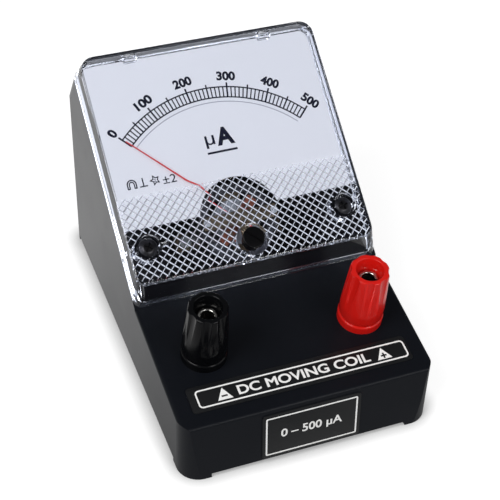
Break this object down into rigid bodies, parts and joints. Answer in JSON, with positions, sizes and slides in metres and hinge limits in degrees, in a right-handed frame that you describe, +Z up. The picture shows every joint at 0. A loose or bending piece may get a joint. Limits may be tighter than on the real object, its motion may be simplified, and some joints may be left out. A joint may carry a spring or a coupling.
{
  "type": "analogue desk ammeter",
  "caption": "Wedge-shaped bench ammeter with a sloping clear-covered needle dial, a zero adjuster and fluted red and black binding posts on its deck.",
  "frame": {"origin": "middle of the footprint on the surface it stands on", "axes": "+Z up, the deck and its front label face -Y, +X to the right of someone reading the dial"},
  "size_m": [0.082, 0.1242, 0.0821],
  "materials": {
    "case_black": "fine satin moulding",
    "base_grey": "matt",
    "screw_steel": "zinc plated",
    "tray_black": "matt",
    "dial_white": "matt enamel",
    "cover_clear": "clear acrylic",
    "screw_black": "blackened",
    "yoke_steel": "nickel plated",
    "magnet": "ground",
    "brass": "lacquered",
    "bronze": "thin ribbon",
    "zero_black": "matt",
    "aluminium": "plain",
    "copper": "enamelled wire",
    "pointer_red": "enamel",
    "red_plastic": "glossy moulding",
    "black_plastic": "glossy moulding",
    "nickel": "nickel plated",
    "fibre": "pressed board",
    "lead_red": "soft sleeve",
    "label_print": "anodised, printed"
  },
  "bodies": {
    "stand": {"case_shell": "case_black", "base_plate": "base_grey", "base_screws": "screw_steel", "movement_tray": "tray_black", "dial_plate": "dial_white", "front_cover": "cover_clear", "cover_screws": "screw_black", "yoke_ring": "yoke_steel", "core_magnet": "magnet", "core_frame": "brass", "frame_screws": "screw_steel", "top_bridge": "brass", "bridge_screws": "screw_steel", "jewel_screws": "brass", "lower_spring": "bronze", "red_collar": "red_plastic", "red_stud": "nickel", "black_collar": "black_plastic", "black_stud": "nickel", "under_washers": "fibre", "solder_tags": "nickel", "stud_nuts": "nickel", "lead_terminals": "nickel", "leads": "lead_red", "deck_label": "label_print", "front_label": "label_print"},
    "movement": {"coil_former": "aluminium", "coil_winding": "copper", "pivot_shafts": "screw_steel", "pointer": "pointer_red", "balance_weights": "brass"},
    "zero_adjuster": {"zero_screw": "zero_black"},
    "zero_arm": {"zero_lever": "brass", "upper_spring": "bronze"},
    "red_thread": {"red_insert": "brass"},
    "red_knob": {"red_cap": "red_plastic"},
    "black_thread": {"black_insert": "brass"},
    "black_knob": {"black_cap": "black_plastic"}
  },
  "joints": [
    {"name": "pointer_swing", "type": "hinge", "parent": "stand", "child": "movement", "pos_m": [0, 0.00492, 0.03964], "axis": [0, 0.5764, -0.8171], "range_deg": [-2, 91], "stiffness_Nm_per_rad": 0.0003},
    {"name": "zero_turn", "type": "hinge", "parent": "stand", "child": "zero_adjuster", "pos_m": [0, -0.00836, 0.04251], "axis": [0, -0.5764, 0.8171], "range_deg": [-45, 45]},
    {"name": "zero_arm_turn", "type": "hinge", "parent": "stand", "child": "zero_arm", "pos_m": [0, 0.00377, 0.04128], "axis": [0, -0.5764, 0.8171], "range_deg": [-4, 4]},
    {"name": "red_rise", "type": "slide", "parent": "stand", "child": "red_thread", "axis": [0, -0.1582, 0.9874], "range_m": [0, 0.003]},
    {"name": "red_unscrew", "type": "hinge", "parent": "red_thread", "child": "red_knob", "pos_m": [0.0258, -0.03761, 0.0373], "axis": [0, -0.1582, 0.9874], "range_deg": [0, 1080]},
    {"name": "black_rise", "type": "slide", "parent": "stand", "child": "black_thread", "axis": [0, -0.1582, 0.9874], "range_m": [0, 0.003]},
    {"name": "black_unscrew", "type": "hinge", "parent": "black_thread", "child": "black_knob", "pos_m": [-0.0258, -0.03761, 0.0373], "axis": [0, -0.1582, 0.9874], "range_deg": [0, 1080]}
  ],
  "couplings": [
    {"joint": "zero_arm_turn", "follows": "zero_turn", "ratio": 0.085},
    {"joint": "red_unscrew", "follows": "red_rise", "rad_per_m": 6283.2},
    {"joint": "black_unscrew", "follows": "black_rise", "rad_per_m": 6283.2}
  ]
}
